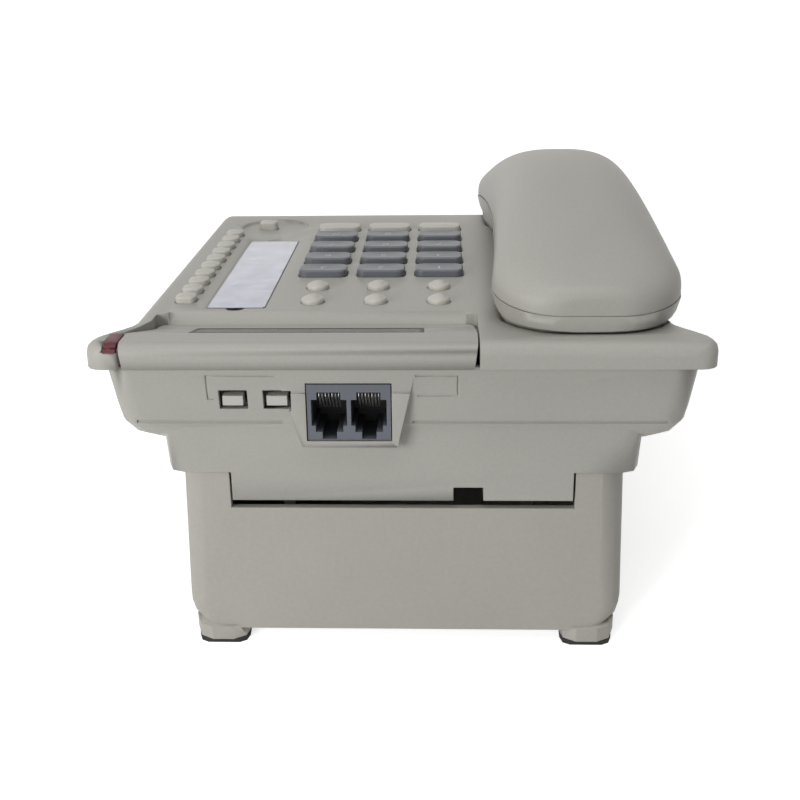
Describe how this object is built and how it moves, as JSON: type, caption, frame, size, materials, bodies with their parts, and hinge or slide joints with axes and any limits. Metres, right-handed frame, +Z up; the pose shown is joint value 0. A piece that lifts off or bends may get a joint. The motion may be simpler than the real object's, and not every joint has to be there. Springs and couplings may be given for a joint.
{
  "type": "corded desk telephone",
  "caption": "Desk telephone with a sloping key deck, tilting display, lift-off handset, wedge stand and a rear wall with a dual modular line jack.",
  "frame": {"origin": "middle of the footprint of the bounding box, on the table", "axes": "+X to the right of the user, +Y towards the rear wall with the line jacks, +Z up"},
  "size_m": [0.179, 0.2132, 0.1107],
  "materials": {
    "casing": "fine satin grain",
    "light_keys": "satin",
    "dial_keys": "satin",
    "rubber": "matte",
    "keypad_rubber": "matte",
    "window": "polished smoke",
    "lamp": "polished dark red",
    "card": "plain card",
    "clear_cover": "clear",
    "board": "coated laminate",
    "module": "dull",
    "steel": "pressed sheet",
    "jack_plastic": "satin",
    "insert": "satin",
    "switch_black": "satin",
    "capsule": "dull"
  },
  "bodies": {
    "base": {"base_cord_jack": "jack_plastic", "desk_stand": "casing", "front_foot_left": "rubber", "front_foot_right": "rubber", "index_card": "card", "jack_insert": "insert", "keypad_sheet": "keypad_rubber", "line_jack_block": "jack_plastic", "loudspeaker": "steel", "lower_case": "casing", "main_board": "board", "rear_foot_left": "rubber", "rear_foot_right": "rubber", "ringer_lamp_lens": "lamp", "switch_housing": "switch_black", "top_cover": "casing"},
    "dial_key_0_body": {"dial_key_0": "dial_keys"},
    "dial_key_1_body": {"dial_key_1": "dial_keys"},
    "dial_key_2_body": {"dial_key_2": "dial_keys"},
    "dial_key_3_body": {"dial_key_3": "dial_keys"},
    "dial_key_4_body": {"dial_key_4": "dial_keys"},
    "dial_key_5_body": {"dial_key_5": "dial_keys"},
    "dial_key_6_body": {"dial_key_6": "dial_keys"},
    "dial_key_7_body": {"dial_key_7": "dial_keys"},
    "dial_key_8_body": {"dial_key_8": "dial_keys"},
    "dial_key_9_body": {"dial_key_9": "dial_keys"},
    "dial_key_hash_body": {"dial_key_hash": "dial_keys"},
    "dial_key_star_body": {"dial_key_star": "dial_keys"},
    "one_touch_key_1_body": {"one_touch_key_1": "light_keys"},
    "one_touch_key_10_body": {"one_touch_key_10": "light_keys"},
    "one_touch_key_2_body": {"one_touch_key_2": "light_keys"},
    "one_touch_key_3_body": {"one_touch_key_3": "light_keys"},
    "one_touch_key_4_body": {"one_touch_key_4": "light_keys"},
    "one_touch_key_5_body": {"one_touch_key_5": "light_keys"},
    "one_touch_key_6_body": {"one_touch_key_6": "light_keys"},
    "one_touch_key_7_body": {"one_touch_key_7": "light_keys"},
    "one_touch_key_8_body": {"one_touch_key_8": "light_keys"},
    "one_touch_key_9_body": {"one_touch_key_9": "light_keys"},
    "round_key_1_body": {"round_key_1": "light_keys"},
    "round_key_2_body": {"round_key_2": "light_keys"},
    "round_key_3_body": {"round_key_3": "light_keys"},
    "round_key_4_body": {"round_key_4": "light_keys"},
    "round_key_5_body": {"round_key_5": "light_keys"},
    "round_key_6_body": {"round_key_6": "light_keys"},
    "wide_key_1_body": {"wide_key_1": "light_keys"},
    "wide_key_2_body": {"wide_key_2": "light_keys"},
    "wide_key_3_body": {"wide_key_3": "light_keys"},
    "speaker_button_body": {"speaker_button": "light_keys"},
    "display": {"display_housing": "casing", "display_window": "window", "lcd_module": "module"},
    "switch_knob_left_body": {"switch_knob_left": "light_keys"},
    "switch_knob_right_body": {"switch_knob_right": "light_keys"},
    "handset": {"handset_back_shell": "casing", "handset_face_shell": "casing", "handset_receiver": "capsule", "handset_microphone": "capsule", "handset_cord_jack": "jack_plastic"},
    "plunger": {"hook_plunger": "light_keys"},
    "cover": {"card_cover": "clear_cover"}
  },
  "joints": [
    {"name": "dial_key_0_press", "type": "slide", "parent": "base", "child": "dial_key_0_body", "axis": [0, 0.309, -0.9511], "range_m": [0, 0.0015], "stiffness_N_per_m": 400, "springref_m": -0.0005},
    {"name": "dial_key_1_press", "type": "slide", "parent": "base", "child": "dial_key_1_body", "axis": [0, 0.309, -0.9511], "range_m": [0, 0.0015], "stiffness_N_per_m": 400, "springref_m": -0.0005},
    {"name": "dial_key_2_press", "type": "slide", "parent": "base", "child": "dial_key_2_body", "axis": [0, 0.309, -0.9511], "range_m": [0, 0.0015], "stiffness_N_per_m": 400, "springref_m": -0.0005},
    {"name": "dial_key_3_press", "type": "slide", "parent": "base", "child": "dial_key_3_body", "axis": [0, 0.309, -0.9511], "range_m": [0, 0.0015], "stiffness_N_per_m": 400, "springref_m": -0.0005},
    {"name": "dial_key_4_press", "type": "slide", "parent": "base", "child": "dial_key_4_body", "axis": [0, 0.309, -0.9511], "range_m": [0, 0.0015], "stiffness_N_per_m": 400, "springref_m": -0.0005},
    {"name": "dial_key_5_press", "type": "slide", "parent": "base", "child": "dial_key_5_body", "axis": [0, 0.309, -0.9511], "range_m": [0, 0.0015], "stiffness_N_per_m": 400, "springref_m": -0.0005},
    {"name": "dial_key_6_press", "type": "slide", "parent": "base", "child": "dial_key_6_body", "axis": [0, 0.309, -0.9511], "range_m": [0, 0.0015], "stiffness_N_per_m": 400, "springref_m": -0.0005},
    {"name": "dial_key_7_press", "type": "slide", "parent": "base", "child": "dial_key_7_body", "axis": [0, 0.309, -0.9511], "range_m": [0, 0.0015], "stiffness_N_per_m": 400, "springref_m": -0.0005},
    {"name": "dial_key_8_press", "type": "slide", "parent": "base", "child": "dial_key_8_body", "axis": [0, 0.309, -0.9511], "range_m": [0, 0.0015], "stiffness_N_per_m": 400, "springref_m": -0.0005},
    {"name": "dial_key_9_press", "type": "slide", "parent": "base", "child": "dial_key_9_body", "axis": [0, 0.309, -0.9511], "range_m": [0, 0.0015], "stiffness_N_per_m": 400, "springref_m": -0.0005},
    {"name": "dial_key_hash_press", "type": "slide", "parent": "base", "child": "dial_key_hash_body", "axis": [0, 0.309, -0.9511], "range_m": [0, 0.0015], "stiffness_N_per_m": 400, "springref_m": -0.0005},
    {"name": "dial_key_star_press", "type": "slide", "parent": "base", "child": "dial_key_star_body", "axis": [0, 0.309, -0.9511], "range_m": [0, 0.0015], "stiffness_N_per_m": 400, "springref_m": -0.0005},
    {"name": "one_touch_key_1_press", "type": "slide", "parent": "base", "child": "one_touch_key_1_body", "axis": [0, 0.309, -0.9511], "range_m": [0, 0.0015], "stiffness_N_per_m": 400, "springref_m": -0.0005},
    {"name": "one_touch_key_10_press", "type": "slide", "parent": "base", "child": "one_touch_key_10_body", "axis": [0, 0.309, -0.9511], "range_m": [0, 0.0015], "stiffness_N_per_m": 400, "springref_m": -0.0005},
    {"name": "one_touch_key_2_press", "type": "slide", "parent": "base", "child": "one_touch_key_2_body", "axis": [0, 0.309, -0.9511], "range_m": [0, 0.0015], "stiffness_N_per_m": 400, "springref_m": -0.0005},
    {"name": "one_touch_key_3_press", "type": "slide", "parent": "base", "child": "one_touch_key_3_body", "axis": [0, 0.309, -0.9511], "range_m": [0, 0.0015], "stiffness_N_per_m": 400, "springref_m": -0.0005},
    {"name": "one_touch_key_4_press", "type": "slide", "parent": "base", "child": "one_touch_key_4_body", "axis": [0, 0.309, -0.9511], "range_m": [0, 0.0015], "stiffness_N_per_m": 400, "springref_m": -0.0005},
    {"name": "one_touch_key_5_press", "type": "slide", "parent": "base", "child": "one_touch_key_5_body", "axis": [0, 0.309, -0.9511], "range_m": [0, 0.0015], "stiffness_N_per_m": 400, "springref_m": -0.0005},
    {"name": "one_touch_key_6_press", "type": "slide", "parent": "base", "child": "one_touch_key_6_body", "axis": [0, 0.309, -0.9511], "range_m": [0, 0.0015], "stiffness_N_per_m": 400, "springref_m": -0.0005},
    {"name": "one_touch_key_7_press", "type": "slide", "parent": "base", "child": "one_touch_key_7_body", "axis": [0, 0.309, -0.9511], "range_m": [0, 0.0015], "stiffness_N_per_m": 400, "springref_m": -0.0005},
    {"name": "one_touch_key_8_press", "type": "slide", "parent": "base", "child": "one_touch_key_8_body", "axis": [0, 0.309, -0.9511], "range_m": [0, 0.0015], "stiffness_N_per_m": 400, "springref_m": -0.0005},
    {"name": "one_touch_key_9_press", "type": "slide", "parent": "base", "child": "one_touch_key_9_body", "axis": [0, 0.309, -0.9511], "range_m": [0, 0.0015], "stiffness_N_per_m": 400, "springref_m": -0.0005},
    {"name": "round_key_1_press", "type": "slide", "parent": "base", "child": "round_key_1_body", "axis": [0, 0.309, -0.9511], "range_m": [0, 0.0015], "stiffness_N_per_m": 400, "springref_m": -0.0005},
    {"name": "round_key_2_press", "type": "slide", "parent": "base", "child": "round_key_2_body", "axis": [0, 0.309, -0.9511], "range_m": [0, 0.0015], "stiffness_N_per_m": 400, "springref_m": -0.0005},
    {"name": "round_key_3_press", "type": "slide", "parent": "base", "child": "round_key_3_body", "axis": [0, 0.309, -0.9511], "range_m": [0, 0.0015], "stiffness_N_per_m": 400, "springref_m": -0.0005},
    {"name": "round_key_4_press", "type": "slide", "parent": "base", "child": "round_key_4_body", "axis": [0, 0.309, -0.9511], "range_m": [0, 0.0015], "stiffness_N_per_m": 400, "springref_m": -0.0005},
    {"name": "round_key_5_press", "type": "slide", "parent": "base", "child": "round_key_5_body", "axis": [0, 0.309, -0.9511], "range_m": [0, 0.0015], "stiffness_N_per_m": 400, "springref_m": -0.0005},
    {"name": "round_key_6_press", "type": "slide", "parent": "base", "child": "round_key_6_body", "axis": [0, 0.309, -0.9511], "range_m": [0, 0.0015], "stiffness_N_per_m": 400, "springref_m": -0.0005},
    {"name": "wide_key_1_press", "type": "slide", "parent": "base", "child": "wide_key_1_body", "axis": [0, 0.309, -0.9511], "range_m": [0, 0.0015], "stiffness_N_per_m": 400, "springref_m": -0.0005},
    {"name": "wide_key_2_press", "type": "slide", "parent": "base", "child": "wide_key_2_body", "axis": [0, 0.309, -0.9511], "range_m": [0, 0.0015], "stiffness_N_per_m": 400, "springref_m": -0.0005},
    {"name": "wide_key_3_press", "type": "slide", "parent": "base", "child": "wide_key_3_body", "axis": [0, 0.309, -0.9511], "range_m": [0, 0.0015], "stiffness_N_per_m": 400, "springref_m": -0.0005},
    {"name": "speaker_button_press", "type": "slide", "parent": "base", "child": "speaker_button_body", "axis": [0, 0.309, -0.9511], "range_m": [0, 0.0015], "stiffness_N_per_m": 400, "springref_m": -0.0005},
    {"name": "display_tilt", "type": "hinge", "parent": "base", "child": "display", "pos_m": [0, 0.05711, 0.08533], "axis": [1, 0, 0], "range_deg": [0, 45]},
    {"name": "switch_left_slide", "type": "slide", "parent": "base", "child": "switch_knob_left_body", "axis": [1, 0, 0], "range_m": [-0.001, 0.001]},
    {"name": "switch_right_slide", "type": "slide", "parent": "base", "child": "switch_knob_right_body", "axis": [1, 0, 0], "range_m": [-0.001, 0.001]},
    {"name": "handset_lift", "type": "slide", "parent": "base", "child": "handset", "axis": [0, -0.309, 0.9511], "range_m": [0, 0.04]},
    {"name": "hook_plunger_rise", "type": "slide", "parent": "base", "child": "plunger", "axis": [0, -0.309, 0.9511], "range_m": [0, 0.004]},
    {"name": "card_cover_lift", "type": "slide", "parent": "base", "child": "cover", "axis": [0, -0.309, 0.9511], "range_m": [0, 0.01]}
  ],
  "couplings": [
    {"joint": "hook_plunger_rise", "follows": "handset_lift", "ratio": 0.1}
  ]
}
